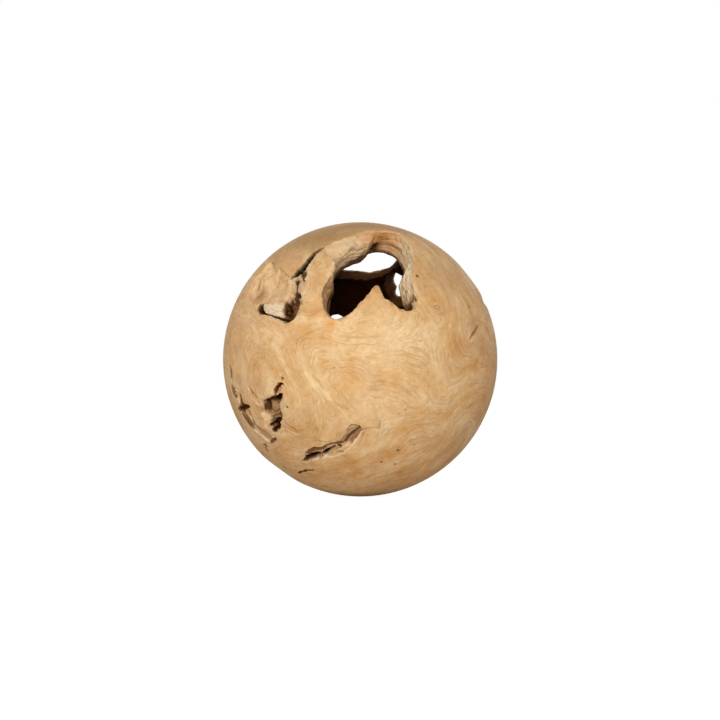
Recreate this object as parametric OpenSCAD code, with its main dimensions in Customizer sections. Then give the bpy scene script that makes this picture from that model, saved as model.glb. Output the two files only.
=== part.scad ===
/* [Ball] */
// Diameter of the turned ball
ball_d = 300; // [260:5:360]
// Thickness of the wood between the turned skin and the hollow
wall = 25; // [20:1:30]
// Height of the lumps that are left on the wall of the hollow
lump_h = 3; // [0:0.5:6]

/* [Front opening] */
// Width of the front opening, measured over the skin
mouth_w = 102; // [80:1:110]
// Height of the front opening, measured over the skin
mouth_h = 132; // [110:1:140]
// Height of the waves that run round the cut face of the wall
mouth_ripple = 0.5; // [0:0.25:2]
// Depth of the shelf where the cut face runs out into the skin at the upper left
shelf_depth = 8; // [3:0.5:12]

/* [Back openings] */
// Width of the upper back opening
upper_w = 72; // [56:1:80]
// Height of the upper back opening at the skin
upper_h = 50; // [40:1:54]
// Width of the side back opening
side_w = 34; // [24:1:38]
// Height of the side back opening at the skin
side_h = 36; // [28:1:38]
// Width of the lower back opening
lower_w = 32; // [24:1:40]
// Height of the lower back opening
lower_h = 44; // [34:1:50]

/* [Cleft and scoop] */
// Width of the cleft between the cap and the strap of skin
cleft_w = 8; // [3:0.5:9]
// Depth of the cleft
cleft_depth = 20; // [8:0.5:21]
// Depth of the hollow seam that carries on below the cleft
seam_depth = 15; // [6:0.5:17]
// Depth of the scoop where the skin has weathered away
scoop_depth = 5; // [2:0.5:8]
// Width of the slits round the loose chunk under the scoop
chunk_slit_w = 5; // [1.5:0.25:6]
// Depth of those slits
chunk_slit_depth = 13; // [4:0.5:15]

/* [Pits and gouge] */
// Depth of the large pit at the lower left
pit_depth = 10; // [6:0.5:12]
// Depth of the small pockets in the cleft, in the large pit and under the right lip
pocket_depth = 16; // [10:0.5:18]
// Depth of the star-shaped pit beside it, and of the notch below
star_depth = 8; // [4:0.5:12]
// Width of the strips where soft wood is gone
strip_w = 12; // [6:0.5:16]
// Depth of those strips
strip_depth = 3; // [1:0.5:5]
// Width of the long gouge under the middle
gouge_w = 14; // [8:0.5:18]
// Depth of the gouge
gouge_depth = 5; // [2:0.5:8]
// Width of the slit along the bottom of the gouge
slit_w = 7; // [3:0.5:8]
// Depth of the slit
slit_depth = 16; // [8:0.5:18]

/* [Cracks and worm holes] */
// Width of a drying crack at the skin
crack_w = 3.2; // [1.2:0.2:4]
// Depth of a drying crack
crack_depth = 7; // [2:0.5:9]
// Diameter of a worm hole
worm_d = 2.4; // [1.4:0.1:3.6]
// Depth of a worm hole
worm_depth = 7; // [3:0.5:12]

/* [Hidden] */

ball_r = ball_d / 2;
hollow_r = ball_r - wall;
// Cutters reach this far past the skin, and this far past the wall into the hollow
clear = 4;
// The side of an opening stands upright this far below the skin
edge = 1;
// The side of a pit or groove stands upright for this share of its depth
rim = 0.12;
// The lid of a cutter rises to this radius over its middle, so that a wide lid stays clear of the skin
peak_r = ball_r * 1.2;

// A place on the ball is [turn, tilt] in degrees: the turn from the front (-Y) towards the right (+X),
// and the tilt up from the middle. A shape there is drawn flat, in millimetres to the right and up,
// as seen from outside, and is then wrapped over the skin.
function outward(place) =
    [sin(place[0]) * cos(place[1]), -cos(place[0]) * cos(place[1]), sin(place[1])];
function rightward(place) = [cos(place[0]), sin(place[0]), 0];
function upward(place) = cross(outward(place), rightward(place));

// Direction of the spot reached by walking step = [right, up] millimetres over the skin from a place
function direction(place, step) =
    let (walk = norm(step), swing = walk / ball_r * 180 / PI)
    walk == 0 ? outward(place)
    : cos(swing) * outward(place)
        + sin(swing) * (step[0] * rightward(place) + step[1] * upward(place)) / walk;

// Smooth curve through b and c, with a before them and d after them (Catmull-Rom)
function between(a, b, c, d, t) =
    (2 * b + (c - a) * t + (2 * a - 5 * b + 4 * c - d) * t ^ 2 + (3 * b - a - 3 * c + d) * t ^ 3) / 2;

// Product of two flat sizes, side by side
function times(p, q) = [p[0] * q[0], p[1] * q[1]];

// A closed outline at its real size and rounded. Its corners run clockwise, as seen from outside,
// in hundredths of its width and height.
function outline(corners, size, steps = 2) =
    let (n = len(corners), at = [for (corner = corners) times(corner, size) / 100])
    [for (i = [0 : n - 1], k = [0 : steps - 1])
        between(at[(i + n - 1) % n], at[i], at[(i + 1) % n], at[(i + 2) % n], k / steps)];

// An outline wrapped round the ball at radius r, grown about its middle and then shifted
function ring(place, shape, r, grow = [1, 1], middle = [0, 0], shift = [0, 0]) =
    [for (p = shape) r * direction(place, middle + times(p - middle, grow) + shift)];

// Closed solid through rings of equal counts, the outermost first, with a fan to close each end
module loft(rings, top, bottom) {
    count = len(rings[0]);
    levels = len(rings);
    points = [for (one = rings, p = one) p];
    top_at = len(points);
    bottom_at = top_at + 1;
    last = (levels - 1) * count;
    sides = [
        for (level = [0 : levels - 2], i = [0 : count - 1])
            let (j = (i + 1) % count, a = level * count, b = a + count)
            each [[a + i, b + j, a + j], [a + i, b + i, b + j]]
    ];
    top_fan = [for (i = [0 : count - 1]) [top_at, i, (i + 1) % count]];
    bottom_fan = [for (i = [0 : count - 1]) [bottom_at, last + (i + 1) % count, last + i]];
    polyhedron(points = concat(points, [top, bottom]), faces = concat(sides, top_fan, bottom_fan));
}

// Opening through the wall, cut towards the middle of the ball. It grows from 1 at the skin to
// flare = [right, up] at the hollow, about the point hinge.
module opening(place, corners, size, middle = [0, 0], ripple = 0, flare = [1, 1], hinge = [0, 0]) {
    shape = outline(corners, size);
    levels = 7;
    inner_r = hollow_r - 2 * lump_h - clear;
    lid = ring(place, shape, ball_r + clear);
    sides = [
        for (level = [0 : levels])
            let (
                r = ball_r - edge + (inner_r - ball_r + edge) * level / levels,
                deep = (ball_r - r) / wall,
                wave = ripple * sin(540 * deep) / norm(size / 2)
            )
            ring(place, shape, r, [1 + wave, 1 + wave] + (flare - [1, 1]) * deep, hinge)
    ];
    loft(concat([lid], sides), peak_r * direction(place, middle), inner_r / 2 * direction(place, middle));
}

// Bowl worn into the skin, with an upright side at its rim. floor is the share of its size left at
// the bottom, which is shifted by lean.
module pit(place, corners, size, depth, floor = 0.4, lean = [0, 0], middle = [0, 0]) {
    shape = outline(corners, size);
    levels = 4;
    bowl = [
        for (level = [0 : levels])
            let (
                swing = 90 * level / levels,
                r = ball_r - depth * (rim + (1 - rim) * sin(swing)),
                grow = floor + (1 - floor) * cos(swing)
            )
            ring(place, shape, r, [grow, grow], middle, lean * (1 - cos(swing)))
    ];
    lid = ring(place, shape, ball_r + clear);
    loft(concat([lid], bowl), peak_r * direction(place, middle),
        (ball_r - depth) * direction(place, middle + lean));
}

// Groove along a route over the skin. A station is [right, up, wide, deep], with the last two in
// hundredths of the groove's width and depth.
module groove(place, stations, width, depth) {
    steps = 3;
    last = len(stations) - 1;
    route = [
        for (i = [0 : last - 1], k = [0 : steps - 1])
            between(stations[max(i - 1, 0)], stations[i], stations[i + 1], stations[min(i + 2, last)], k / steps),
        stations[last]
    ];
    end = len(route) - 1;
    // A V with upright sides and a rounded bottom, as [share of the half width, share of the depth]
    section = [[-1, rim], [-0.75, 0.6], [0, 1], [0.75, 0.6], [1, rim]];
    function foot(i) = [route[i][0], route[i][1]];
    rings = [
        for (i = [0 : end])
            let (
                ahead = foot(min(i + 1, end)) - foot(max(i - 1, 0)),
                side = [-ahead[1], ahead[0]] / norm(ahead),
                half = side * max(route[i][2], 1) / 100 * width / 2,
                deep = max(route[i][3], 1) / 100 * depth
            )
            [
                (ball_r + clear) * direction(place, foot(i) - half),
                for (s = section) (ball_r - deep * s[1]) * direction(place, foot(i) + half * s[0]),
                (ball_r + clear) * direction(place, foot(i) + half)
            ]
    ];
    cap_r = ball_r + clear / 2;
    loft(rings, cap_r * direction(place, foot(0)), cap_r * direction(place, foot(end)));
}

// Hollow: a round chamber with low lumps, from two crossing waves
module hollow() {
    around = 40;
    up = 20;
    function lumpy(v) =
        hollow_r - lump_h * (1 + (sin(310 * v[0] + 40) * sin(260 * v[1] - 20) + sin(200 * v[2] + 170 * v[0])) / 2);
    rings = [
        for (level = [up - 1 : -1 : 1])
            [
                for (i = [0 : around - 1])
                    let (v = outward([-360 * i / around, -90 + 180 * level / up]))
                    lumpy(v) * v
            ]
    ];
    loft(rings, [0, 0, lumpy([0, 0, 1])], [0, 0, -lumpy([0, 0, -1])]);
}

// The front opening starts at its lower left. Its last third is the tooth of skin that stands up
// from the lower edge. The shelf carries its cut face up to the cleft, and the pocket lies where
// the right lip ends.
MOUTH = [
    [-42, -49], [-50, -41], [-51, -30], [-48, -20], [-42, -12], [-37, 0], [-32, 14], [-18, 24],
    [-6, 34], [4, 38], [11, 46], [22, 50], [32, 49], [40, 42], [46, 31], [49, 20], [48, 8],
    [44, -18], [46, -30], [49, -36], [45, -42], [39, -44], [31, -43], [20, -38], [14, -35],
    [12, -29], [10, -25], [7, -24], [2, -26], [-2, -30], [-6, -35], [-20, -46], [-30, -51]
];
SHELF = [
    [-27, -4], [-18, 9], [-4, 16], [10, 30], [22, 41], [38, 51], [50, 57], [57, 36], [47, 20],
    [35, 9], [17, -22], [12, -45], [3, -42], [-5, -34], [-13, -25], [-21, -15]
];
LIP_POCKET = [[-50, 30], [-8, 50], [40, 42], [50, -4], [22, -44], [-24, -34]];

module front_opening() {
    opening(place = [5, 43], corners = MOUTH, size = [mouth_w, mouth_h], middle = [8, 0], ripple = mouth_ripple,
        flare = [1, 1.05], hinge = [0, -mouth_h / 2]);
    pit(place = [-12, 53], corners = SHELF, size = [72, 80], depth = shelf_depth, floor = 0.75);
    pit(place = [19, 22], corners = LIP_POCKET, size = [17, 11], depth = pocket_depth, floor = 0.6);
}

UPPER = [
    [50, -34], [38, -44], [24, -50], [4, -54], [-14, -46], [-30, -30], [-42, -4], [-54, 30],
    [-48, 48], [-16, 50], [10, 44], [24, 20], [36, -8]
];
SIDE = [
    [0, -52], [-40, -44], [-50, -10], [-44, 30], [-14, 50], [20, 46], [42, 22], [52, -6],
    [46, -18], [50, -30], [48, -50]
];
LOWER = [[-50, 8], [-36, 38], [-10, 50], [26, 48], [48, 20], [44, -24], [16, -50], [-22, -46], [-46, -20]];

module back_openings() {
    opening(place = [172, 52], corners = UPPER, size = [upper_w, upper_h],
        flare = [1.4, 1.66], hinge = [0, -upper_h]);
    opening(place = [153, 37], corners = SIDE, size = [side_w, side_h],
        flare = [1.2, 1.6], hinge = [side_w / 2, -side_h / 2]);
    opening(place = [-166, 16], corners = LOWER, size = [lower_w, lower_h]);
}

CLEFT = [
    [-13, -25, 20, 20], [-7, -18, 60, 70], [-4, -11, 100, 100], [-1, -4, 70, 100], [0, 3, 46, 95],
    [2, 11, 46, 80], [7, 17, 38, 60], [14, 24, 15, 25]
];
CLEFT_POCKET = [[-42, 10], [0, 48], [55, 6], [55, -36], [-8, -52]];
SEAM = [
    [-10, 50], [38, 46], [44, 30], [50, 14], [50, -4], [54, -22], [38, -42], [16, -50], [-16, -42],
    [-40, -24], [-28, -12], [-6, -2], [-10, 14], [-22, 34]
];
SCOOP = [
    [-36, 50], [-12, 30], [14, 18], [32, 6], [42, -2], [48, -18], [50, -34], [48, -46], [26, -46],
    [0, -50], [-30, -44], [-48, -30], [-51, -14], [-50, 8], [-44, 30]
];

SLIT_LEFT_OF_CHUNK = [[-4, 5, 50, 50], [-5, 1, 100, 100], [-1, -3, 100, 100], [6, -7, 40, 40]];
SLIT_UNDER_CHUNK = [[-19, 4, 25, 30], [-8, 2, 40, 40], [2, 0, 30, 40], [12, -3, 75, 100], [19, -1, 50, 80]];

module cleft_and_scoop() {
    groove(place = [-30, 44], stations = CLEFT, width = cleft_w, depth = cleft_depth);
    pit(place = [-31, 37], corners = CLEFT_POCKET, size = [12, 19], depth = pocket_depth, floor = 0.5);
    pit(place = [-31, 25], corners = SEAM, size = [18, 48], depth = seam_depth, floor = 0.3, lean = [-3, 0]);
    pit(place = [-48, 34], corners = SCOOP, size = [78, 58], depth = scoop_depth, floor = 0.75);
    groove(place = [-47, 21], stations = SLIT_LEFT_OF_CHUNK, width = chunk_slit_w, depth = chunk_slit_depth);
    groove(place = [-37, 17], stations = SLIT_UNDER_CHUNK, width = chunk_slit_w, depth = chunk_slit_depth);
}

PIT = [
    [50, 50], [38, 28], [28, 0], [18, -28], [-18, -40], [-44, -48], [-38, -28], [-50, -10],
    [-38, 6], [-38, 28], [0, 30], [26, 40]
];
UPPER_POCKET = [[48, 48], [36, -20], [0, -28], [-34, -40], [-52, -48], [-52, -14], [-8, -6], [22, 20]];
LOWER_POCKET = [[-48, -42], [-12, -8], [4, 34], [28, 16], [52, 42], [32, -16], [0, -58], [-20, -42]];
STAR = [[10, 54], [16, 16], [22, -10], [46, -14], [52, -26], [10, -36], [-48, -46], [-18, -14], [-20, 26]];
NOTCH = [[-50, -10], [-20, 40], [30, 50], [50, 10], [10, -30], [-30, -50]];
LEFT_STRIP = [[-4, 13, 70, 80], [-1, 6, 120, 100], [2, -1, 140, 100], [5, -9, 80, 80]];
MIDDLE_STRIP = [[-9, 25, 25, 60], [-3, 14, 50, 90], [5, 1, 70, 100], [8, -11, 60, 100], [3, -25, 60, 60]];
LOWER_STRIP = [[-15, 7, 40, 60], [-6, 3, 90, 100], [3, -1, 110, 100], [12, -3, 80, 100], [19, -4, 30, 60]];

module pits() {
    pit(place = [-40, -21], corners = PIT, size = [32, 40], depth = pit_depth, floor = 0.5, lean = [-3, 2]);
    pit(place = [-39, -16], corners = UPPER_POCKET, size = [27, 15], depth = pocket_depth);
    pit(place = [-44, -28], corners = LOWER_POCKET, size = [25, 12], depth = pocket_depth);
    pit(place = [-63, -18], corners = STAR, size = [33, 20], depth = star_depth, floor = 0.3);
    pit(place = [-50.5, -34], corners = NOTCH, size = [11, 8], depth = star_depth);
    pit(place = [-59, -38], corners = NOTCH, size = [8, 6], depth = strip_depth);
    groove(place = [-61, -26], stations = LEFT_STRIP, width = strip_w, depth = strip_depth);
    groove(place = [-50, -20], stations = MIDDLE_STRIP, width = strip_w, depth = strip_depth);
    groove(place = [-54, -32], stations = LOWER_STRIP, width = strip_w, depth = strip_depth);
}

GOUGE = [
    [-35, -26, 8, 30], [-27, -17, 90, 100], [-15, -9, 90, 100], [-2, -3, 65, 90], [8, 1, 60, 80],
    [17, 5, 75, 80], [26, 13, 100, 80], [32, 20, 70, 60], [34, 22, 20, 20]
];
SLIT = [
    [-34, -25, 24, 40], [-27, -21, 80, 90], [-19, -17, 90, 100], [-13, -13, 50, 90], [-7, -10, 100, 100],
    [1, -6, 50, 90], [8, -4, 36, 60], [14, -1, 12, 20]
];

module gouge() {
    groove(place = [-15, -37], stations = GOUGE, width = gouge_w, depth = gouge_depth);
    groove(place = [-15, -37], stations = SLIT, width = slit_w, depth = slit_depth);
}

HOOK_CRACK = [[6, 6, 40, 40], [1, 5, 90, 100], [-4, 2, 90, 100], [-7, -2, 80, 100], [-7, -6, 50, 60]];
LEFT_CRACK = [[2, 20, 40, 40], [3, 12, 120, 80], [0, 5, 160, 100], [2, -2, 200, 100], [7, -8, 150, 80]];
LOWER_CRACK = [[-15, -4, 30, 40], [-3, 2, 100, 100], [8, 5, 100, 100], [15, 6, 30, 40]];

module cracks() {
    groove(place = [-35, -12], stations = HOOK_CRACK, width = crack_w, depth = crack_depth);
    groove(place = [-68, -12], stations = LEFT_CRACK, width = crack_w, depth = crack_depth);
    groove(place = [-41, -54], stations = LOWER_CRACK, width = crack_w, depth = crack_depth);
}

// Places where beetles bored into the skin
WORM_PLACES = [[13, -47], [8, -72], [20, -40], [30, 36], [57, 22], [-33, -20]];

module worm_holes() {
    for (place = WORM_PLACES)
        rotate([0, 90 - place[1], place[0] - 90])
            translate([0, 0, ball_r - worm_depth])
                cylinder(d = worm_d, h = worm_depth + clear, $fn = 24);
}

module ball() {
    color("burlywood")
    difference() {
        sphere(r = ball_r, $fn = 120);
        hollow();
        front_opening();
        back_openings();
        cleft_and_scoop();
        pits();
        gouge();
        cracks();
        worm_holes();
    }
}

ball();
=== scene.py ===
"""Looks of a hollow ball, turned from one root of teak and sanded, with its eroded wood left as it grew.

Shapes are worked out in millimetres, and are in metres once they reach Blender.
"""

import math

import bmesh
import bpy
import numpy as np
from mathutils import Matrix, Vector


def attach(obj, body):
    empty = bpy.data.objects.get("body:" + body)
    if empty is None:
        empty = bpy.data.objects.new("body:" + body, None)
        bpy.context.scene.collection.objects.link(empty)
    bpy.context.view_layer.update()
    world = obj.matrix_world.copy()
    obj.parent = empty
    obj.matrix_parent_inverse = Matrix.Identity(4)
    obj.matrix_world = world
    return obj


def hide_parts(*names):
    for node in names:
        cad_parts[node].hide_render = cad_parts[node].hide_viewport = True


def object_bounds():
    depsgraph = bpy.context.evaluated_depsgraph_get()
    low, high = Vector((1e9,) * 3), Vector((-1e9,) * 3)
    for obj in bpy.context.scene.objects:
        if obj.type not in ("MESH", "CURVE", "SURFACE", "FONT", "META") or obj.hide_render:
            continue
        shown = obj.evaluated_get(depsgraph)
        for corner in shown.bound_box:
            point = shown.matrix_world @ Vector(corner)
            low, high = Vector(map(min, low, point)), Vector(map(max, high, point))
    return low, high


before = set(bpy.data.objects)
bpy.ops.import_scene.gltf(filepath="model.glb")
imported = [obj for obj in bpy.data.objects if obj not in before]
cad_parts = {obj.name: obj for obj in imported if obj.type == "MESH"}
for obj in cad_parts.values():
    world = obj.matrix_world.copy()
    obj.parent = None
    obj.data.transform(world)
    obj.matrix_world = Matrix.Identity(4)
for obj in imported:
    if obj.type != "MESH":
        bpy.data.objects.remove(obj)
CAD_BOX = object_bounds()

MM = 0.001
BALL_R = 150.0
# Depth below the turned skin at which the hollow starts
HOLLOW_DEPTH = 25.0
# The finished skin stays this far inside the CAD node's box
SKIN_ROOM = 0.07
# Stands for no line near, or for a depth that no wood has
FAR = 99.0

# ---------------------------------------------------------------- places on the ball


def outward(place):
    """Unit direction of a place [turn, tilt] in degrees: turn from the front (-Y) towards +X, tilt up."""
    turn, tilt = np.radians(place)
    return np.array([math.sin(turn) * math.cos(tilt), -math.cos(turn) * math.cos(tilt), math.sin(tilt)])


def walk(points, place):
    """Millimetres to the right and up of a place, walked over the skin, for every point.

    A point's direction leans from the place's outward direction by an angle. The walk is
    BALL_R times that angle long, and heads the way the direction leans.
    """
    out = outward(place)
    turn = math.radians(place[0])
    right = np.array([math.cos(turn), math.sin(turn), 0.0])
    up = np.cross(out, right)
    way = points / np.linalg.norm(points, axis=1, keepdims=True)
    lean = np.stack([way @ right, way @ up], axis=1)
    length = np.linalg.norm(lean, axis=1)
    angle = np.arctan2(length, way @ out)
    return lean * (BALL_R * angle / np.maximum(length, 1e-9))[:, None]


def smoothstep(low, high, value):
    """0 at low, 1 at high, and 3t^2 - 2t^3 between them."""
    t = np.clip((value - low) / (high - low), 0.0, 1.0)
    return t * t * (3.0 - 2.0 * t)


def bell(step, centre, size):
    """exp(-(u/a)^2 - (v/b)^2) for steps (u, v) from a centre and half sizes a and b."""
    return np.exp(-((step[:, 0] - centre[0]) / size[0]) ** 2 - ((step[:, 1] - centre[1]) / size[1]) ** 2)


def blot(points, place, size, slant=0.0):
    """Bell-shaped spot on the skin at a place, with half sizes, turned by slant degrees."""
    step = walk(points, place)
    turn = math.radians(slant)
    turned = np.array([[math.cos(turn), -math.sin(turn)], [math.sin(turn), math.cos(turn)]])
    return bell(step @ turned, [0, 0], size)


def near_line(points, place, stations):
    """Share of a line's half width that each point lies from it: 0 on the line, 1 at its edge.

    stations are [right, up, half width] in millimetres. Each stretch gives the distance to its
    nearest spot over the half width there, and the smallest of them counts.
    """
    step = walk(points, place)
    share = np.full(len(points), FAR)
    for start, end in zip(stations[:-1], stations[1:]):
        a, b = np.array(start[:2], float), np.array(end[:2], float)
        t = np.clip((step - a) @ (b - a) / ((b - a) @ (b - a)), 0.0, 1.0)
        gap = np.linalg.norm(step - a - t[:, None] * (b - a), axis=1)
        share = np.minimum(share, gap / (start[2] + (end[2] - start[2]) * t))
    return share


def waves(points, length, seed, count=24):
    """Smooth noise of about unit size: the sum of sines along random directions, near one wavelength."""
    rng = np.random.default_rng(seed)
    ways = rng.normal(size=(count, 3))
    ways *= (2.0 * math.pi / length * rng.uniform(0.6, 1.5, count) / np.linalg.norm(ways, axis=1))[:, None]
    starts = rng.uniform(0.0, 2.0 * math.pi, count)
    return np.sin(points @ ways.T + starts).sum(axis=1) / math.sqrt(count / 2.0)


# ---------------------------------------------------------------- how the wood grew

# Knots that the growth layers bend round: a place, half sizes and how far the layers rise there
KNOTS = [
    ([37, 20], [28, 44], -41.0),
    ([42, -5], [30, 66], 38.0),
    ([-15, -7], [24, 21], -6.0),
    ([42, 41], [45, 30], 14.0),
]
# Sets of grain lines, each twice as close as the one before: how many times the growth field is doubled
DOUBLINGS = [-1, 0, 1, 2]


def growth(points):
    """Height of the wood's growth layers. Its level lines are the year rings.

    Four fields are mixed by bell-shaped weights: rings round the far side of the front opening,
    rings round the left, layers that fan out to the right and bend round two knots, and nearly
    level layers low down. A slanted field at the back has a small weight of its own. Slow waves
    bend them all, and the layers also follow the depth below the skin.
    """
    radius = np.linalg.norm(points, axis=1)
    skin = points * (BALL_R / np.maximum(radius, 1e-9))[:, None]
    skin = skin + 3.0 * np.stack([waves(skin, 60.0, seed) for seed in (11, 12, 13)], axis=1)
    skin = skin + 0.7 * np.stack([waves(skin, 16.0, seed) for seed in (14, 15, 16)], axis=1)
    rim = walk(skin, [31, 43])
    left = walk(skin, [-79, -20])
    fan = walk(skin, [-13, 5])
    low = walk(skin, [-8, -41])
    round_rim = np.hypot(rim[:, 0], 0.9 * rim[:, 1]) - 88.0
    round_left = np.hypot(left[:, 0], left[:, 1]) - 12.0
    fanned = fan[:, 1] * (0.44 + 0.25 * np.exp(-((fan[:, 0] / 59.0) ** 2)))
    level = low[:, 1] - 0.58 * low[:, 0] - 7.0
    behind = 0.8 * skin[:, 2] + 0.4 * skin[:, 0]
    weights = [
        bell(rim, [-50, 13], [46, 52]),
        bell(left, [-3, 10], [65, 46]),
        bell(fan, [49, 20], [49, 116]),
        bell(low, [0, 0], [90, 49]),
        np.full(len(points), 0.02),
    ]
    fields = [round_rim, round_left, fanned, level, behind]
    mixed = sum(w * f for w, f in zip(weights, fields)) / sum(weights)
    for place, size, height in KNOTS:
        mixed = mixed + height * blot(skin, place, size)
    return mixed + 1.3 * (BALL_R - radius)


def closeness(points, normals):
    """The growth field at each point, and the share there of each set of grain lines.

    The shares keep the lines about evenly far apart. The growth field's slope along the surface says
    how close its level lines are. Where the slope is halved, the set with twice as many lines takes
    over, and between two sets both count in part.
    """
    step = 0.5
    here = growth(points)
    slope = np.stack([growth(points + step * np.eye(3)[axis]) - here for axis in range(3)], axis=1) / step
    slope -= (slope * normals).sum(axis=1, keepdims=True) * normals
    steepness = np.log2(np.maximum(np.linalg.norm(slope, axis=1), 0.01))
    steepness = np.clip(steepness, -DOUBLINGS[-1], -DOUBLINGS[0])
    return here, [np.clip(1.0 - np.abs(steepness + doubling), 0.0, 1.0) for doubling in DOUBLINGS]


# ---------------------------------------------------------------- the ball's mesh


def mesh_array(mesh, name="co"):
    """The places (co) or normals (normal) of a mesh's vertices as an array, as Blender holds them."""
    values = np.empty(len(mesh.vertices) * 3, np.float32)
    mesh.vertices.foreach_get(name, values)
    return values.reshape(-1, 3).astype(float)


def set_places(mesh, points):
    """Puts places in millimetres back into a mesh."""
    mesh.vertices.foreach_set("co", (points * MM).astype(np.float32).ravel())
    mesh.update()


def modified(mesh, kind, **settings):
    """A new mesh: the given one after one modifier."""
    holder = bpy.data.objects.new("work", mesh)
    bpy.context.scene.collection.objects.link(holder)
    modifier = holder.modifiers.new("work", kind)
    for key, value in settings.items():
        setattr(modifier, key, value)
    graph = bpy.context.evaluated_depsgraph_get()
    made = bpy.data.meshes.new_from_object(holder.evaluated_get(graph))
    bpy.data.objects.remove(holder)
    return made


# Names for the places that the marks are laid out from
PLACES = {
    "cleft": [-30, 44], "chunk": [-41, 21], "pits": [-46, -22], "edge": [-64, -20],
    "gouge": [-12, -36], "crown": [12, 62], "nub": [40, 27], "right": [57, 11], "centre": [-15, -10],
    "scoop": [-48, 33],
}
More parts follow.
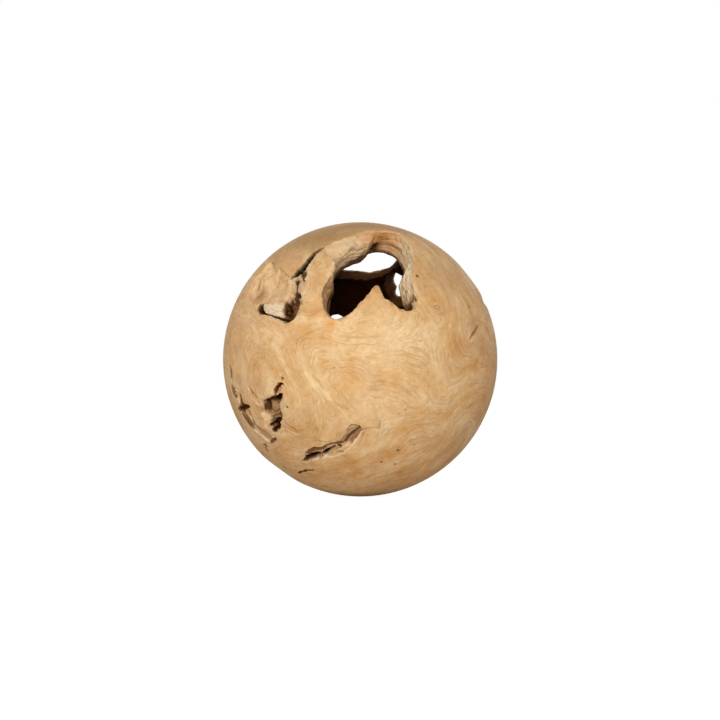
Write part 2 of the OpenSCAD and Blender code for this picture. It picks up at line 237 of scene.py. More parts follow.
# Fine marks: a place, stations of [right, up, half width], a depth, a colour and its strength. A
# depth of 0 only colours the wood, and one below 0 raises it.
MARKS = [
    # the crevice under the cap, the pocket below it and the cells of rotten wood; the crevice's black is
    # painted shade under the overhanging cap
    ("cleft", [[0, -18, 3.2], [2, -22, 3]], 6, "#55391f", 0.9),
    ("cleft", [[8, 22.5, 1], [4.5, 18, 1.6], [1.5, 10.5, 2.3], [0.5, 1, 2.8]], 9, "#120905", 1),
    ("cleft", [[0.5, 1, 2.8], [-2, -8, 3.3], [-6, -14.5, 3.6], [-9, -20, 2.6], [-15, -24, 1]],
        9, "#120905", 1),
    ("cleft", [[-5, -26, 0.9], [-5, -31, 1], [-3.5, -38, 1], [-3, -42, 2], [2, -44, 2.2], [5, -42, 1]],
        5, "#3a2413", 0.95),
    ("chunk", [[25, 17, 2], [24, 9, 4], [22.5, 3, 5.8], [21.5, -2, 5.8], [23.5, -8.5, 3.6]],
        2.5, "#4a2b15", 0.95),
    ("chunk", [[14.5, 8, 1.1], [18, 1.5, 1.4], [19.5, -6, 1.5]], 4, "#2a180b", 0.95),
    ("chunk", [[21, 7, 0.8], [25.5, 4, 0.9], [23, 0, 0.9]], -1.2, "#8a6038", 0.8),
    ("chunk", [[27, 9, 0.8], [27, 1, 0.9], [25, -5, 0.8]], -1.2, "#7a5230", 0.8),
    # the facets of the scoop: the pale ones are painted light and the darker ones painted shade
    ("scoop", [[-32.5, 24.5, 4.7], [-17.5, 16, 5.2]], 0, "#efc995", 0.5),
    ("scoop", [[-39.5, -0.5, 2.7], [-32, -8.5, 3.2]], 0, "#f0cfa0", 0.5),
    ("scoop", [[7, 9.5, 2.6], [18.5, 0.5, 2.6]], 0, "#bd8d5c", 0.5),
    ("scoop", [[-36.5, 9, 2.1], [-32, 3.5, 2.7], [-29.5, -2.5, 1.9]], 0, "#a87848", 0.6),
    # the frayed oval on the strap
    ("cleft", [[7.5, -13, 0.6], [6, -9, 0.6], [7, -4, 0.7], [10, -1, 0.6], [14, -0.5, 0.6], [15, -4, 0.6]],
        0.5, "#9c7c50", 0.45),
    ("cleft", [[15, -4, 0.6], [13.5, -9, 0.6], [10, -13, 0.6], [7.5, -13, 0.6]], 0.5, "#9c7c50", 0.4),
    ("cleft", [[9, -10, 0.6], [10, -5, 0.6], [12, -3, 0.6]], 0.4, "#9c7c50", 0.45),
    ("cleft", [[22.5, 6, 0.7], [25, 7, 0.8], [28, 4, 1.1], [30, 7, 0.7]], 1.2, "#7a5836", 0.9),
    # the slits round the pale block, painted black and dark brown as the shade inside them
    ("chunk", [[-20, 5.5, 1.6], [-20.5, 1, 2.9], [-16, -4, 2.4]], 7, "#1c0f07", 1),
    ("chunk", [[-14, -5, 0.8], [0, -8, 0.9], [16, -11.5, 1.2], [23, -13, 1.6], [28.5, -10.5, 1.3]],
        5, "#3a2211", 0.95),
    # the pits low on the left; the hook's dark brown, the dark band along the main pit's top and the
    # near-black hole at its foot are painted shade
    ("pits", [[33, 30.5, 1], [30.5, 31, 1.4], [28, 30, 1.8], [25, 27, 2.3], [22.5, 24, 2.3], [21, 21.5, 1.5]],
        4, "#5a3014", 1),
    ("pits", [[30.5, 26.5, 1.4], [26.5, 23, 1.8]], 1.5, "#c58d55", 0.8),
    ("pits", [[4, 12, 3], [5, 5, 4.2], [6, -2, 4.2], [6, -10, 4.2], [5, -16, 3.6]], 0, "#b58c62", 0.9),
    # painted shade along the left and top of the main pit
    ("pits", [[3.5, 12, 1.2], [3.5, 7, 1.9], [1.5, 1.5, 1.5]], 1, "#3a2211", 0.9),
    ("pits", [[6.5, 14, 1.1], [16, 16, 2.2], [22, 16, 3.4]], 1, "#241208", 1),
    ("pits", [[10, 8, 2.6], [12, 3, 2.6], [11, -2, 2]], 0, "#c9a176", 0.7),
    # painted shade in the hole at the pit's foot
    ("pits", [[4, -13, 2.2], [8, -15, 4], [11.5, -15.5, 4], [15, -13, 2.2]], 7, "#2b1309", 1),
    ("pits", [[8, -15, 4], [6, -19.5, 2.8], [4.5, -22.5, 1]], 7, "#2b1309", 1),
    ("pits", [[2.5, -13, 3], [4, -17, 3.4], [3, -20.5, 2.2]], 3, "#2b1309", 1),
    ("pits", [[2.5, -7, 0.8], [9, -7, 0.8], [15, -5, 0.7]], 1, "#6b4526", 0.8),
    ("pits", [[2, -11.5, 0.8], [8, -11, 0.8], [15, -8.5, 0.7]], 1, "#4a2e18", 0.9),
    ("pits", [[1, 4, 1.2], [6, -4, 0.9], [13, 0, 0.8]], 0.8, "#6b4526", 0.7),
    ("pits", [[33.5, 38, 1.4], [33.5, 35.5, 1.4]], 0.5, "#d29a4a", 0.8),
    ("pits", [[23.5, -10.5, 2.4], [24, -14.5, 2.4]], 0.6, "#bda27c", 0.7),
    ("pits", [[28, -16.5, 1.4], [32, -20.5, 1.8], [33.5, -23.5, 1.2]], 0.6, "#c48c50", 0.8),
    ("pits", [[22.5, -19.5, 0.6], [27, -23, 0.7], [33, -27, 0.6]], 0, "#f0d3a6", 0.8),
    ("pits", [[-13.5, -38.5, 1], [-7.5, -35, 2.2], [0, -31.5, 1.2]], 2.5, "#7a5230", 0.9),
    ("pits", [[-6, -3.5, 3], [-1.5, -8, 3], [0, -10.5, 2]], 0, "#e9c798", 0.8),
    # the star, the strip and the terraces at the left edge
    ("pits", [[-30.5, -44.5, 1], [-29.5, -48.5, 1.6], [-30.5, -52.5, 1]], 2, "#8a5c34", 0.9),
    ("edge", [[29, 20.5, 1.6], [31.5, 16.5, 2.6], [35, 12.5, 2.4]], 0.8, "#b8804a", 0.7),
    ("edge", [[41, 5, 2.6], [39, 0.5, 3]], 0, "#efcf9e", 0.8),
    ("edge", [[34, -1, 2.2], [36.5, -5, 2.2]], 0.6, "#a57444", 0.7),
    ("edge", [[17.5, -23, 3.2], [23, -29, 4.8], [30, -36, 4.2]], 0.4, "#b8875c", 0.85),
    ("edge", [[5, -25, 0.8], [11.5, -32, 0.9], [24.5, -41.5, 0.9]], 0, "#f2d6aa", 0.9),
    ("edge", [[-1, -6.5, 3.2], [3, -14, 4.8], [7, -21, 4]], 1.2, "#9a7047", 0.95),
    ("edge", [[16, -3.5, 1.2], [16, -11.5, 1.4], [14.5, -20, 1.6]], 1, "#6b4828", 0.8),
    ("edge", [[-4, -8, 1], [-0.5, -15, 1], [3.5, -22, 1.2]], 0, "#5e3e22", 0.8),
    # painted shade in the grooves of the star
    ("edge", [[3.5, 13, 2], [4, 9, 2.8], [4, 4, 4.4], [2.5, 0.5, 5.5]], 4, "#744519", 1),
    ("edge", [[-13, -4, 1.2], [-6.5, -2, 2.4], [4.5, 0, 3.2], [13, 0.5, 2.4], [19, 0.5, 1]], 5, "#5a3216", 1),
    ("edge", [[-11, 44, 1.8], [-10, 41, 2.4], [-9.5, 38, 3], [-10, 34, 2.4]], 1.5, "#7d5230", 0.9),
    ("edge", [[-11.5, 26, 1.4], [-12.5, 22.5, 2.4], [-12.5, 17.5, 2.6], [-9, 13.5, 2.4], [-4.5, 12, 1.6]],
        2.5, "#6b4526", 0.9),
    # the long gouge, its black slit, which is painted shade, and the thin cracks by it
    ("gouge", [[-35.5, -20, 1.6], [-28, -12.5, 3], [-20, -10, 2.6], [-13, -7, 1.1]], 1.5, "#8a5a34", 0.9),
    ("gouge", [[-33.5, -15.5, 0.6], [-26.5, -8.5, 0.8], [-18.5, -6, 0.7], [-5, -2, 0.7], [-0.5, -2, 0.9]],
        1.5, "#7d5432", 0.7),
    ("gouge", [[-12, -15.5, 2], [-4, -12, 2.2], [5, -10, 1.8], [12, -5, 1.6]], 0, "#d9ae7c", 0.8),
    ("gouge", [[16.5, 1.5, 1.8], [22.5, 7.5, 2.6], [28.5, 13, 2.2]], 1.5, "#9c6f45", 0.9),
    ("gouge", [[-0.5, -2.5, 0.8], [9.5, 1, 1], [14, 6.5, 1.3], [20, 12.5, 1.8], [27.5, 18, 1.3]],
        2, "#6b4426", 0.9),
    # the slit's black is painted shade, down its walls too
    ("gouge", [[-43, -31, 0.7], [-37, -27, 2.2], [-30, -22, 2.8], [-22.5, -17.5, 2.2], [-20, -16.8, 1.4]],
        8, "#120905", 1),
    ("gouge", [[-18.5, -16.8, 1.3], [-15, -15, 2.3], [-12, -12, 1.8], [-7, -8, 1.2], [-2.5, -5.5, 0.9]],
        8, "#120905", 1),
    ("gouge", [[2, -4.5, 1.4], [3, -4.5, 1.4]], 5, "#120905", 1),
    ("gouge", [[-20.3, -18.5, 0.5], [-17.5, -12, 0.5]], 0, "#d9b184", 0.8),
    ("gouge", [[-35, -30.5, 1.2], [-26.5, -24.8, 1.3], [-19.5, -21.3, 1.3]], 0, "#a87d52", 0.8),
    ("gouge", [[0, -10.5, 1.1], [5, -10.5, 1.1]], 0.6, "#a8783f", 0.7),
    # the thin pale rim under the slit: pale worn edge with a painted highlight on it
    ("gouge", [[-41, -32.5, 0.6], [-34.5, -30, 0.6], [-26, -25.3, 0.7], [-14, -19.8, 0.7], [-2.5, -17, 0.7]],
        0, "#f6ddb4", 0.9),
    ("gouge", [[-2.5, -17, 0.7], [5.5, -13, 0.7], [12.5, -7, 0.7], [19.5, 1, 0.7], [31, 14.5, 0.5]],
        0, "#f6ddb4", 0.9),
    ("gouge", [[13.5, 16.5, 0.6], [16, 20, 0.6], [18.5, 22, 0.7], [21.5, 22.5, 0.9], [24.5, 22, 0.8],
        [28, 18, 0.7]], 1.2, "#8a5f38", 0.75),
    ("gouge", [[15.5, 14, 0.5], [18.5, 19, 0.5], [22, 19.5, 0.5]], 0.5, "#a87c50", 0.6),
    ("gouge", [[-25, 3, 0.4], [-18.5, 3.5, 0.6], [-13.5, 2, 0.6], [-9, 2, 0.6], [-4.5, 2.5, 0.6],
        [-2, -0.5, 0.6]], 0.6, "#a8784a", 0.6),
    ("gouge", [[28.5, 17.5, 0.5], [35, 17, 0.5], [41.5, 16.5, 0.5], [47.5, 15.5, 0.6], [49, 23.5, 0.4]],
        0.6, "#a5733f", 0.65),
    ("gouge", [[-56, -61, 1.3], [-48.5, -54, 1.6], [-40, -48, 1.3], [-32, -44, 0.8]], 3, "#5e381c", 1),
    # the pale streak below the middle
    ("centre", [[-19.5, 11.5, 1.6], [-11, 2, 2.7], [-0.5, -8, 2.9], [7, -17, 1.7]], 0, "#f3d8a8", 0.55),
    ("centre", [[-10.5, 9, 0.8], [-4.5, 2.5, 1.1], [0, -4, 0.8]], 0.4, "#cf8f45", 0.6),
    # the frayed nub at the end of the right lip, and the groove on the right
    ("nub", [[-35.5, 1.5, 0.6], [-35.5, -2, 0.7], [-34, -5.5, 0.6]], 1, "#7a5434", 0.9),
    ("nub", [[-32.5, 15.5, 0.6], [-34.5, 8, 0.7], [-35.5, 2.5, 0.6]], 0.8, "#a57c54", 0.7),
    ("nub", [[-16, -14, 0.6], [-14, -12.8, 0.6], [-11, -12.5, 0.6], [-8.5, -14, 0.6]], 0.3, "#8f6236", 0.6),
    ("nub", [[-8.5, -14, 0.6], [-9.5, -16, 0.6], [-12.5, -16.8, 0.6], [-15.5, -15.5, 0.6]],
        0.3, "#8f6236", 0.5),
    ("right", [[-15, -7, 0.7], [-7, -1.5, 1.8], [6.5, 7, 0.8]], 1.6, "#9a6234", 0.85),
]
# Pinholes: a place and a half width. They all have one depth.
PINHOLE_DEPTH = 3.0
PINHOLES = [
    ([29.6, 35.8], 1.9),
    ([56.4, 21.9], 1.7),
    ([12.6, -46.3], 1.5),
    ([20.2, -39.7], 1.6),
    ([21.5, -47.7], 1.2),
    ([7.7, -71.1], 1.6),
    ([-32.6, -19.5], 1.3),
    ([-33.1, -7.6], 1.4),
    ([19.5, -20.5], 0.8),
    ([28.5, -37.0], 0.9),
]
# Flat spots and dents in the turned skin: a place, half sizes and a depth
DENTS = [([86, 25], [16, 5], 1.6), ([82, 38], [30, 18], 0.8), ([-82, -54], [30, 18], 1.1)]
# Outlines of the worn regions and of the pale block: a place, and stations of [right, up, half width]
CLEFT_LINE = ([-30, 44], [[-13, -25, 5], [-6, -15, 7], [-2, -6, 7], [2, 10, 4], [14, 24, 3]])
SEAM_LINE = ([-31, 25], [[-2, 26, 9], [1, 8, 9], [-2, -10, 11], [-6, -20, 10]])
SCOOP_LINE = ([-48, 34], [[-14, 0, 26], [12, 0, 26]])
CHUNK_LINE = ([-41, 20.5], [[-12, 3, 7.5], [9, -2, 8.5]])
# Where the walls of the front opening lean: a place, half sizes and the shift [right, up] of the deep wood
LEANS = [
    ([30, 38], [18, 16], [-5.5, 0.0]),
    ([-4, 62], [30, 12], [-1.0, -5.0]),
    ([-16, 42], [16, 16], [-5.0, 0.0]),
]
# Where the worn wood is no deeper than a limit: a place, stations of [right, up, half width], the
# limit, and the depth from which the wood is left as it is
FILLS = [
    ([-30, 44], [[-12, -24, 7], [-5, -14, 9], [0, -5, 9], [4, 10, 7], [15, 24, 6]], 1.5, FAR),
    ([-31, 25], [[0, 22, 11], [0, 12, 11]], 5.0, FAR),
    ([-31, 25], [[-1, 8, 12], [-3, -10, 13], [-6, -20, 12]], 9.0, FAR),
    ([-14, 57], [[-16, -3, 10], [-4, 0, 10], [6, 2, 8]], 2.5, 12.0),
    ([-64, -20], [[3, 14, 6], [2, 4, 8], [1, -4, 9], [4, -14, 9], [9, -22, 9], [18, -26, 9], [25, -33, 9],
        [31, -39, 7]], 1.0, FAR),
    ([-12, -36], [[-40, -30, 5], [-28, -21, 7], [-16, -15, 7], [-4, -10, 6], [4, -7, 5]], 3.0, FAR),
]


def regions(points, normals):
    """The depth of each point, and shares from 0 to 1 that say what the wood is there.

    inner is the hollow's wall, worn the wood where the turned skin is gone, and the rest are places:
    the back, the mouth (the front opening), the seam below the cleft, the scoop and the low front.
    """
    radius = np.linalg.norm(points, axis=1)
    facing = (points * normals).sum(axis=1) / radius
    depth = BALL_R - radius
    inner = smoothstep(-0.35, -0.75, facing) * smoothstep(130.0, 127.0, radius)
    inner = np.maximum(inner, smoothstep(124.5, 121.5, radius) * smoothstep(0.2, -0.2, facing))
    worn = smoothstep(0.4, 1.6, depth) * (1.0 - inner)
    back = smoothstep(0.0, 15.0, points[:, 1])
    mouth = smoothstep(-46.0, -40.0, points[:, 0]) * smoothstep(20.0, 30.0, points[:, 2]) * (1.0 - back)
    cleft = smoothstep(1.3, 0.9, near_line(points, *CLEFT_LINE))
    seam = smoothstep(1.3, 0.9, near_line(points, *SEAM_LINE))
    scoop = smoothstep(1.2, 1.0, near_line(points, *SCOOP_LINE)) * (1.0 - np.maximum(cleft, seam))
    low = smoothstep(-5.0, -15.0, points[:, 2]) * (1.0 - back)
    return {
        "depth": depth, "inner": inner, "worn": worn, "back": back, "mouth": mouth, "seam": seam,
        "scoop": scoop, "low": low,
    }


def streaks(points, is_, length, seed):
    """Noise in streaks that follow the layers of worn wood.

    The streaks are narrow down through the layers and about twelve times as long along them.
    """
    layers = 1.5 * is_["depth"] + 2.0 * waves(points, 40.0, 26)
    return waves(np.stack([layers, 0.12 * points[:, 0], 0.12 * points[:, 2]], axis=1), length, seed)


def weathered(points, normals):
    """Places after the wood has worn: its layers stand out as ridges where the skin is gone.

    First every point slides over the skin in small waves, which makes the rims uneven, and the walls
    of the front opening lean as LEANS says. Then a worn point moves along its normal by streaked
    ridges and lumps, by creased facets in the scoop and by cells in the seam, and a point of the
    hollow by waves and ridges. The skin goes back to the turned sphere. Last, DENTS press it in and
    FILLS raise deep wood to their limits, both along the radius.
    """
    slide = 0.8 * np.stack([waves(points, 24.0, seed) for seed in (31, 32, 33)], axis=1)
    slide += 0.3 * np.stack([waves(points, 9.0, seed) for seed in (34, 35, 36)], axis=1)
    radius = np.linalg.norm(points, axis=1, keepdims=True)
    points = points + slide * smoothstep(131.0, 139.0, radius)
    points *= radius / np.linalg.norm(points, axis=1, keepdims=True)
    is_ = regions(points, normals)
    for place, size, shift in LEANS:
        deep = smoothstep(2.0, 18.0, is_["depth"]) * (1.0 - is_["back"]) * blot(points, place, size)
        points = points + deep[:, None] * np.array([shift[0], 0.0, shift[1]])
    ridges = 1.0 - 1.4 * np.abs(streaks(points, is_, 7.0, 21)) + 0.35 * streaks(points, is_, 3.2, 22)
    lumps = 0.5 * waves(points, 30.0, 24) + 0.35 * waves(points, 11.0, 23)
    creases = np.abs(waves(points, 34.0, 27)) - 0.8
    cells = smoothstep(0.0, 1.2, waves(points, 8.0, 28))
    rough = 0.55 - 0.35 * is_["scoop"]
    amount = is_["worn"] * (rough * ridges + lumps - 0.5)
    amount += is_["worn"] * is_["scoop"] * (2.2 * creases + 0.3 * waves(points, 6.0, 29))
    amount -= is_["worn"] * is_["seam"] * 3.0 * cells
    amount += is_["inner"] * (0.8 * waves(points, 22.0, 25) + 0.3 * ridges)
    moved = points + normals * amount[:, None]
    radius = np.linalg.norm(moved, axis=1)
    way = moved / radius[:, None]
    skin = smoothstep(1.0, 0.25, is_["depth"])
    radius = np.minimum(radius + (BALL_R - radius) * skin, BALL_R)
    for place, size, deep in DENTS:
        radius -= deep * blot(points, place, size)
    for place, stations, limit, reach in FILLS:
        inside = smoothstep(1.4, 0.8, near_line(points, place, stations))
        inside *= smoothstep(reach, reach - 4.0, is_["depth"]) * (1.0 - is_["mouth"] * (reach > HOLLOW_DEPTH))
        radius += inside * np.maximum(BALL_R - limit - radius, 0.0)
    return way * radius[:, None]


def wavered(points):
    """The points' places on the skin, shifted in small waves, so that no mark runs dead straight."""
    skin = points * (BALL_R / np.linalg.norm(points, axis=1, keepdims=True))
    skin = skin + 0.25 * np.stack([waves(skin, 11.0, seed) for seed in (51, 52, 53)], axis=1)
    return skin + 0.15 * np.stack([waves(skin, 4.0, seed) for seed in (54, 55, 56)], axis=1)


def cut(points):
    """The ball after its fine marks and pinholes are pressed straight down into it."""
    radius = np.linalg.norm(points, axis=1)
    way = points / radius[:, None]
    bent = wavered(points)
    for place, stations, deep, _, _ in MARKS:
        radius -= deep * smoothstep(1.15, 0.45, near_line(bent, PLACES[place], stations))
    for place, half in PINHOLES:
        away = np.linalg.norm(walk(points, place), axis=1)
        radius -= PINHOLE_DEPTH * smoothstep(half * 1.1, half * 0.6, away)
    return way * np.minimum(radius, BALL_R - SKIN_ROOM)[:, None]


# The mesh is refined for the fine marks only down to this depth below the skin
MARKED_DEPTH = 20.0


def mark_gap(points):
    """Millimetres from each point of the marked skin to the edge of the nearest fine mark."""
    gap = np.full(len(points), FAR)
    bent = wavered(points)
    for place, stations, *_ in MARKS:
        middle = [[right, up, 1.0] for right, up, _ in stations]
        gap = np.minimum(gap, near_line(bent, PLACES[place], middle) - max(half for *_, half in stations))
    for place, half in PINHOLES:
        gap = np.minimum(gap, np.linalg.norm(walk(points, place), axis=1) - half)
    skin = (points[:, 1] < 0.0) & (np.linalg.norm(points, axis=1) > BALL_R - MARKED_DEPTH)
    return np.where(skin, gap, FAR)


def refined(mesh, longest, rounds):
    """Halves the mesh's edges near a fine mark where they are longer than the given millimetres.

    Each round halves them once, so the rounds bring down edges of up to 2^rounds times that length.
    """
    for _ in range(rounds):
        points = mesh_array(mesh) / MM
        gap = mark_gap(points)
        ends = np.empty(len(mesh.edges) * 2, np.int32)
        mesh.edges.foreach_get("vertices", ends)
        ends = ends.reshape(-1, 2)
        length = np.linalg.norm(points[ends[:, 0]] - points[ends[:, 1]], axis=1)
        wanted = np.flatnonzero((length > longest) & (gap[ends].min(axis=1) < 0.5 * length + 0.3))
        shape = bmesh.new()
        shape.from_mesh(mesh)
        shape.edges.ensure_lookup_table()
        bmesh.ops.subdivide_edges(shape, edges=[shape.edges[i] for i in wanted], cuts=1, use_grid_fill=True)
        bmesh.ops.triangulate(shape, faces=shape.faces)
        shape.to_mesh(mesh)
        shape.free()


# Grid of the even mesh, its triangles once it is thinned, the longest edge near a fine mark, and how
# many times an edge there may be halved
VOXEL = 1.15
THINNED_TRIANGLES = 90000
MARK_EDGE = 1.2
MARK_ROUNDS = 4


def make_ball():
    """The ball: a copy of the CAD node, remeshed evenly, worn, thinned, refined near marks and cut."""
    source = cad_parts["ball"].data.copy()
    shape = bmesh.new()
    shape.from_mesh(source)
    bmesh.ops.remove_doubles(shape, verts=shape.verts, dist=1e-6)
    shape.to_mesh(source)
    shape.free()
    voxel = VOXEL
    even = modified(source, "REMESH", mode="VOXEL", voxel_size=voxel * MM)
    points, normals = mesh_array(even) / MM, mesh_array(even, "normal")
    set_places(even, weathered(points, normals))
    triangles = 2 * len(even.polygons)
    mesh = modified(even, "DECIMATE", ratio=THINNED_TRIANGLES / triangles)
    refined(mesh, MARK_EDGE, MARK_ROUNDS)
    set_places(mesh, cut(mesh_array(mesh) / MM))
    mesh.polygons.foreach_set("use_smooth", np.ones(len(mesh.polygons), bool))
    mesh.name = "teak_ball"
    ball = bpy.data.objects.new("teak_ball", mesh)
    bpy.context.scene.collection.objects.link(ball)
    return ball


# ---------------------------------------------------------------- colour and grain of each point


def linear(code):
    """An sRGB hex code as linear red, green, blue and alpha."""
    shares = [int(code[i : i + 2], 16) / 255.0 for i in (1, 3, 5)]
    return [s / 12.92 if s <= 0.04045 else ((s + 0.055) / 1.055) ** 2.4 for s in shares] + [1.0]


def tinted(colours, share, code):
    """Linear colours moved towards a hex code by a share."""
    return colours + np.clip(share, 0.0, 1.0)[:, None] * (np.array(linear(code)) - colours)


# Stains and pale clouds in the skin, and painted light down its left side: a place, half sizes, a slant, a
# hex code and a strength
STAINS = [
    ([-35, 60], [60, 26], 0, "#a9824f", 0.8),
    ([5, 74], [60, 22], 0, "#a27c50", 0.8),
    ([-22, 33], [11, 18], 0, "#c8925a", 0.6),
    ([16, 8], [34, 20], 0, "#f0d3a2", 0.7),
    ([-18, -8], [9, 22], 40, "#efd09c", 0.6),
    ([-12.4, 14.0], [7, 6], 0, "#dc9438", 0.85),
    ([-13.8, 9.4], [6, 3], 0, "#dd9a45", 0.5),
    ([43, 4], [16, 12], 20, "#c98d4e", 0.6),
    ([60, 6], [12, 16], 20, "#b87b44", 0.5),
    ([55, 14], [10, 10], 20, "#b98550", 0.6),
    ([18, 20], [18, 9], -30, "#d8a05a", 0.5),
    ([-26, 10], [14, 12], 0, "#cf9a5e", 0.5),
    ([7, -5], [5, 9], 0, "#d49c58", 0.5),
    ([-8.6, -47.8], [22, 10], 10, "#cb9050", 0.5),
    ([-26, -28], [16, 22], 0, "#c99c66", 0.5),
    ([-46, -9], [10, 8], 0, "#cf8f4c", 0.5),
    ([48, 36], [30, 24], 0, "#c39869", 0.6),
    ([43, -35], [20, 12], 30, "#cf9c62", 0.4),
    ([-33, -29], [8, 5], -30, "#cf8844", 0.7),
    # painted light: the left side of the ball is made paler
    ([-66, 5], [26, 60], 0, "#e8b880", 0.6),
    ([68, -5], [26, 60], 0, "#d89a60", 0.5),
]


def plain(points, code):
    """The linear colour of one hex code for every point."""
    return np.tile(np.array(linear(code)), (len(points), 1))


def skin_tones(points, rise):
    """Linear colour of the turned skin: honey with pale and tan clouds, soft figure and stains, and painted
    light down its left side.
    """
    cloud = 0.5 + 0.35 * waves(points, 55.0, 41) + 0.2 * waves(points, 20.0, 42)
    warmth = 0.4 * waves(points, 34.0, 43) + 0.35 * waves(points, 13.0, 44)
    colours = tinted(plain(points, "#e3b67f"), cloud, "#ecc593")
    colours = tinted(colours, 0.6 * np.maximum(warmth, 0.0), "#d7a058")
    colours = tinted(colours, 0.5 * np.maximum(-warmth, 0.0), "#d0a877")
    figure = waves(np.stack([rise, 0.2 * points[:, 0], 0.2 * points[:, 2]], axis=1), 15.0, 47)
    figure += 0.5 * waves(np.stack([rise, 0.15 * points[:, 0], 0.15 * points[:, 2]], axis=1), 7.0, 50)
    colours = tinted(colours, 0.2 * np.maximum(figure, 0.0), "#cf9a5c")
    colours = tinted(colours, 0.2 * np.maximum(-figure, 0.0), "#f3d6a6")
    for place, size, slant, code, strength in STAINS:
        colours = tinted(colours, strength * blot(points, place, size, slant), code)
    return colours


def worn_tones_and_painted_light(points, is_):
    """Linear colour of worn wood: pale near the rim and browner with depth, each place to its own depth. The
    browning and blackening with depth inside the front opening and in the low pits are painted shade, and the
    pale wash on the band above the opening and on the right lip is painted light.
    """
    depth, mouth, scoop, low = is_["depth"], is_["mouth"], is_["scoop"], is_["low"]
    streak = 0.45 + 0.25 * streaks(points, is_, 6.0, 45) + 0.15 * streaks(points, is_, 2.6, 48)
    raw = tinted(plain(points, "#dfbf95"), streak * (1.0 - 0.4 * mouth), "#b98f63")
    # painted light: the band above the opening and the right lip are washed paler because they face away from
    # the lamps
    raw = tinted(raw, 0.85 * mouth * blot(points, [-8, 60], [44, 24]), "#f2d2a4")
    raw = tinted(raw, 1.05 * mouth * blot(points, [34, 38], [22, 38]), "#fbe2ba")
    raw = tinted(raw, mouth * blot(points, [22, 66], [22, 13]), "#c88b50")
    raw = tinted(raw, 0.5 * blot(points, [-40, -22], [20, 24]), "#b27337")
    raw = tinted(raw, 0.8 * scoop, "#e5bd8b")
    # painted shade on the scoop's hollowed left edge
    raw = tinted(raw, scoop * blot(points, [-57, 28], [8, 8]), "#a8794c")
    left_face = mouth * blot(points, [-16, 30], [20, 40]) * smoothstep(2.0, 4.0, depth)
    raw = tinted(raw, 0.7 * left_face, "#a87848")
    # painted shade: the opening's walls darken towards the hollow, in the nook under the crown and in the
    # pocket by the nub
    lip_depth = depth - 7.0 * blot(points, [27, 36], [13, 15])
    raw = tinted(raw, mouth * smoothstep(22.0, 26.0, lip_depth), "#3a2413")
    nook_shade = mouth * blot(points, [17, 69], [8, 7])
    raw = tinted(raw, 1.3 * nook_shade * smoothstep(12.0, 16.0, depth), "#24140a")
    pocket_shade = mouth * blot(points, [25, 23.5], [11, 8])
    raw = tinted(raw, 1.5 * pocket_shade * smoothstep(8.0, 13.0, depth), "#1a0d06")
    # painted shade: the low pits darken and blacken with depth
    raw = tinted(raw, low * smoothstep(2.0, 9.0, depth), "#8a5f39")
    raw = tinted(raw, low * smoothstep(9.0, 13.0, depth), "#2a170b")
    return tinted(raw, is_["back"] * smoothstep(1.0, 4.0, depth), "#6e4122")


def tones_and_painted_light(points, is_, rise):
    """Linear colour of the wood at each point, before its grain is drawn.

    Skin and worn wood mix by how worn the point is. Then come the pale rims and the pale block, both partly
    painted highlight, then the marks, whose black and dark brown in the crevice, slits, pits, star and gouge
    are painted shade, and last the hollow's wall, painted dark as its shade.
    """
    depth = is_["depth"]
    colours = skin_tones(points, rise)
    colours += (0.95 * is_["worn"])[:, None] * (worn_tones_and_painted_light(points, is_) - colours)
    # pale rims round the cuts: pale worn edges with a painted highlight on them
    rim = smoothstep(0.15, 0.5, depth) * smoothstep(2.2, 1.0, depth) * (1.0 - is_["inner"])
    colours = tinted(colours, 0.6 * rim, "#f0d3a4")
    # the pale block: its own cream wood, with a painted highlight standing in for a face that the mesh
    # doesn't raise
    chunk = smoothstep(1.15, 0.95, near_line(points, *CHUNK_LINE) + 0.08 * waves(points, 6.0, 49))
    colours = tinted(colours, chunk * smoothstep(4.0, 2.0, depth), "#ecd0ac")
    bent = wavered(points)
    for place, stations, _, code, strength in MARKS:
        share = near_line(bent, PLACES[place], stations)
        colours = tinted(colours, strength * smoothstep(1.5, 0.8, share) * (1.0 - is_["back"]), code)
    for place, half in PINHOLES:
        away = np.linalg.norm(walk(points, place), axis=1)
        colours = tinted(colours, smoothstep(half * 1.2, half * 0.7, away), "#3a1c0e")
    # the hollow's wall is painted dark brown as its shade
    return tinted(colours, is_["inner"], "#3d1c0b")


def read_wood(mesh):
    """Keeps what the material reads at each vertex.

    tone is the wood's colour with its painted light and shade, rise the growth field, set_0 to set_3 the
    shares of the grain lines, worn how worn the wood is, and lined how strong its lines are.
    """
    points, normals = mesh_array(mesh) / MM, mesh_array(mesh, "normal")
    is_ = regions(points, normals)
    rise, shares = closeness(points, normals)
    tone = mesh.attributes.new("tone", "FLOAT_COLOR", "POINT")
    tone.data.foreach_set("color", tones_and_painted_light(points, is_, rise).astype(np.float32).ravel())
    kept = {"rise": rise}
    kept.update(("set_%d" % index, share) for index, share in enumerate(shares))
    kept["worn"] = is_["worn"]
    kept["lined"] = (1.0 - is_["inner"]) * (1.0 - 0.55 * is_["worn"])
    for name, values in kept.items():
        attribute = mesh.attributes.new(name, "FLOAT", "POINT")
        attribute.data.foreach_set("value", values.astype(np.float32))


# ---------------------------------------------------------------- materials


def add(tree, kind, inputs, **settings):
    """Adds a node: settings are its properties, and inputs holds what goes into each input.

    That is a value, an output or another node, which stands for its first output in use.
    """
    made = tree.nodes.new("ShaderNode" + kind)
    for key, value in settings.items():
        setattr(made, key, value)
    for key, value in inputs.items():
        if isinstance(value, bpy.types.Node):
            value = next(output for output in value.outputs if output.enabled)
        if isinstance(value, bpy.types.NodeSocket):
            tree.links.new(value, made.inputs[key])
        else:
            made.inputs[key].default_value = value
    return made


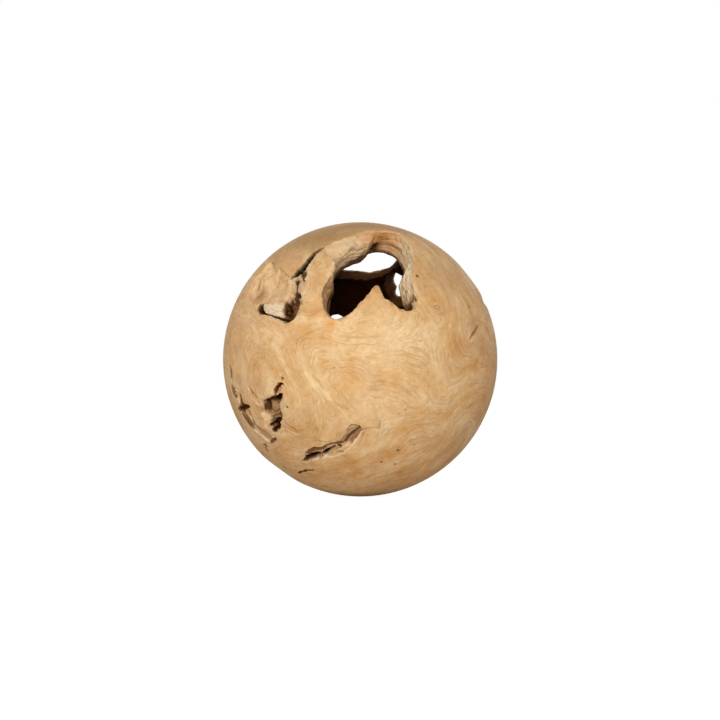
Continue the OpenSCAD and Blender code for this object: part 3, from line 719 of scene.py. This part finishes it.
# Grain lines: the width of one stretch across and along the wood in millimetres, half the width
# of a line as a share of the pattern, its strength and its colour
GRAIN = [
    (4.2, 55.0, 0.050, 0.40, "#b8793c"),
    (2.2, 30.0, 0.040, 0.20, "#a06a34"),
]


def teak():
    """Teak root, turned and sanded, then left without varnish.

    The eye gets honey and tan wood with thin, wavy dark year rings, finer fibres between them, a
    Where it is worn, it is rougher and its fibres stand out. Its colour comes from the tone attribute, which
    also holds painted light and shade.
    """
    material = bpy.data.materials.new("sanded_teak_root")
    material.use_nodes = True
    tree = material.node_tree
    shader = tree.nodes["Principled BSDF"]
    place = add(tree, "TexCoord", {}).outputs["Object"]
    rise = add(tree, "Attribute", {}, attribute_name="rise").outputs["Fac"]
    sets = ["set_%d" % index for index in range(len(DOUBLINGS))]
    shares = [add(tree, "Attribute", {}, attribute_name=name).outputs["Fac"] for name in sets]
    worn = add(tree, "Attribute", {}, attribute_name="worn").outputs["Fac"]
    lined = add(tree, "Attribute", {}, attribute_name="lined").outputs["Fac"]
    tone = add(tree, "Attribute", {}, attribute_name="tone").outputs["Color"]

    mottle = add(tree, "TexNoise", {"Vector": place, "Scale": 1.0 / (5.0 * MM), "Detail": 3.0})
    bright = add(tree, "MapRange", {"Value": mottle, "From Min": 0.3, "From Max": 0.7,
        "To Min": 0.92, "To Max": 1.08})
    colour = add(tree, "HueSaturation", {"Value": bright, "Color": tone})
    patches = add(tree, "TexNoise", {"Vector": place, "Scale": 1.0 / (22.0 * MM), "Detail": 2.0})
    shown = add(tree, "MapRange", {"Value": patches, "From Min": 0.35, "From Max": 0.6,
        "To Min": 0.35, "To Max": 1.0})
    shown = add(tree, "Math", {0: shown, 1: lined}, operation="MULTIPLY")
    height = 0.0
    wobble = add(tree, "TexNoise", {"Vector": place, "Scale": 1.0 / (7.0 * MM), "Detail": 2.0})
    rise = add(tree, "Math", {0: wobble, 1: 1.2, 2: rise}, operation="MULTIPLY_ADD")
    for across, along, half, strength, code in GRAIN:
        slow = add(tree, "VectorMath", {0: place, 3: 1.0 / (along * MM)}, operation="SCALE")
        pattern = 0.0
        for doubling, share in zip(DOUBLINGS, shares):
            fast = add(tree, "Math", {0: rise, 1: 2.0**doubling / across}, operation="MULTIPLY")
            waver = add(tree, "TexNoise", {"Vector": slow, "W": fast, "Scale": 1.0, "Detail": 1.0},
                noise_dimensions="4D")
            waver = add(tree, "Math", {0: waver, 1: 0.5}, operation="SUBTRACT")
            pattern = add(tree, "Math", {0: waver, 1: share, 2: pattern}, operation="MULTIPLY_ADD")
        line = add(tree, "Math", {0: pattern}, operation="ABSOLUTE")
        line = add(tree, "MapRange", {"Value": line, "From Max": half, "To Min": strength, "To Max": 0.0},
            interpolation_type="SMOOTHSTEP")
        line = add(tree, "Math", {0: line, 1: shown}, operation="MULTIPLY")
        colour = add(tree, "Mix", {0: line, 6: colour, 7: linear(code)}, data_type="RGBA")
        height = add(tree, "Math", {0: height, 1: line}, operation="SUBTRACT")
    pores = add(tree, "TexNoise", {"Vector": place, "Scale": 1.0 / (2.4 * MM), "Detail": 1.0})
    pores = add(tree, "MapRange", {"Value": pores, "From Min": 0.66, "From Max": 0.76, "To Max": 0.35})
    colour = add(tree, "Mix", {0: pores, 6: colour, 7: linear("#7d5229")}, data_type="RGBA")
    height = add(tree, "Math", {0: height, 1: pores}, operation="SUBTRACT")
    tree.links.new(colour.outputs[2], shader.inputs["Base Color"])

    rough = add(tree, "MapRange", {"Value": worn, "To Min": 0.62, "To Max": 0.9})
    tree.links.new(rough.outputs[0], shader.inputs["Roughness"])
    shader.inputs["IOR"].default_value = 1.45
    shine = add(tree, "MapRange", {"Value": tone, "From Min": 0.02, "From Max": 0.3, "To Max": 0.25})
    tree.links.new(shine.outputs[0], shader.inputs["Specular IOR Level"])

    depth = add(tree, "MapRange", {"Value": worn, "To Min": 0.06 * MM, "To Max": 0.4 * MM})
    bump = add(tree, "Bump", {"Height": height, "Distance": depth})
    tree.links.new(bump.outputs[0], shader.inputs["Normal"])
    return material


ball = make_ball()
read_wood(ball.data)
ball.data.materials.clear()
ball.data.materials.append(teak())
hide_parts("ball")
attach(ball, "root")

# ---------------------------------------------------------------- camera, light and floor

# The camera's distance in metres, then the picture's side, focal length and middle in pixels
CAMERA_DISTANCE = 2.5
FRAME_PX = 720
FOCAL_PX = 2283.4
CENTRE_PX = (360.2, 359.3)
SENSOR_MM = 36.0

camera = bpy.data.objects.new("camera", bpy.data.cameras.new("camera"))
camera.data.sensor_width = SENSOR_MM
camera.data.lens = FOCAL_PX / FRAME_PX * SENSOR_MM
camera.data.shift_x = (FRAME_PX / 2 - CENTRE_PX[0]) / FRAME_PX
camera.data.shift_y = (CENTRE_PX[1] - FRAME_PX / 2) / FRAME_PX
camera.location = (0.0, -CAMERA_DISTANCE, 0.0)
camera.rotation_euler = (math.radians(90.0), 0.0, 0.0)
bpy.context.scene.collection.objects.link(camera)
bpy.context.scene.camera = camera


def softbox(name, place, size, power):
    """A square lamp of the given size in metres that faces the ball."""
    lamp = bpy.data.lights.new(name, "AREA")
    lamp.size = size
    lamp.energy = power
    box = bpy.data.objects.new(name, lamp)
    box.location = place
    box.rotation_euler = (-Vector(place)).to_track_quat("-Z", "Y").to_euler()
    bpy.context.scene.collection.objects.link(box)


softbox("key_light", (-0.1, -2.6, 0.7), 1.4, 45.0)
softbox("fill_light", (-2.2, -1.2, 0.6), 1.4, 3.5)

# White all round: full white to the camera and in reflections, and weaker as light on the ball
world = bpy.data.worlds.new("studio")
world.use_nodes = True
bpy.context.scene.world = world
world_tree = world.node_tree
seen = add(world_tree, "LightPath", {})
camera_ray, glossy_ray = seen.outputs["Is Camera Ray"], seen.outputs["Is Glossy Ray"]
full = add(world_tree, "Math", {0: camera_ray, 1: glossy_ray}, operation="MAXIMUM")
full = add(world_tree, "Math", {0: full, 1: seen.outputs["Is Transmission Ray"]}, operation="MAXIMUM")
strength = add(world_tree, "MapRange", {"Value": full, "To Min": 0.36, "To Max": 1.0})
background = world_tree.nodes["Background"]
background.inputs["Color"].default_value = (1.0, 1.0, 1.0, 1.0)
world_tree.links.new(strength.outputs[0], background.inputs["Strength"])


def paper():
    """White studio paper: matt, and plain white to the camera except where the ball shades it."""
    material = bpy.data.materials.new("white_studio_paper")
    material.use_nodes = True
    tree = material.node_tree
    tree.nodes.remove(tree.nodes["Principled BSDF"])
    matt = add(tree, "BsdfDiffuse", {"Color": linear("#e8e8e6")})
    half = add(tree, "BsdfDiffuse", {"Color": linear("#a0a09e")})
    glow = add(tree, "Emission", {"Color": (1.0, 1.0, 1.0, 1.0), "Strength": 0.95})
    shown = add(tree, "AddShader", {0: half.outputs[0], 1: glow.outputs[0]})
    path = add(tree, "LightPath", {})
    look = add(tree, "MixShader", {0: path.outputs["Is Camera Ray"], 1: matt.outputs[0], 2: shown.outputs[0]})
    tree.links.new(look.outputs[0], tree.nodes["Material Output"].inputs["Surface"])
    return material


# A round floor in metres, just below the ball
FLOOR_R = 6.0
FLOOR_CORNERS = 96
FLOOR_GAP = 0.0002
ring = np.linspace(0.0, 2.0 * math.pi, FLOOR_CORNERS, endpoint=False)
floor_z = np.full(FLOOR_CORNERS, CAD_BOX[0].z - FLOOR_GAP)
corners = np.stack([FLOOR_R * np.cos(ring), FLOOR_R * np.sin(ring), floor_z], axis=1)
floor_mesh = bpy.data.meshes.new("floor")
floor_mesh.from_pydata(corners.tolist(), [], [list(range(FLOOR_CORNERS))])
floor_mesh.materials.append(paper())
floor = bpy.data.objects.new("floor", floor_mesh)
bpy.context.scene.collection.objects.link(floor)

bpy.context.scene.view_settings.view_transform = "Standard"
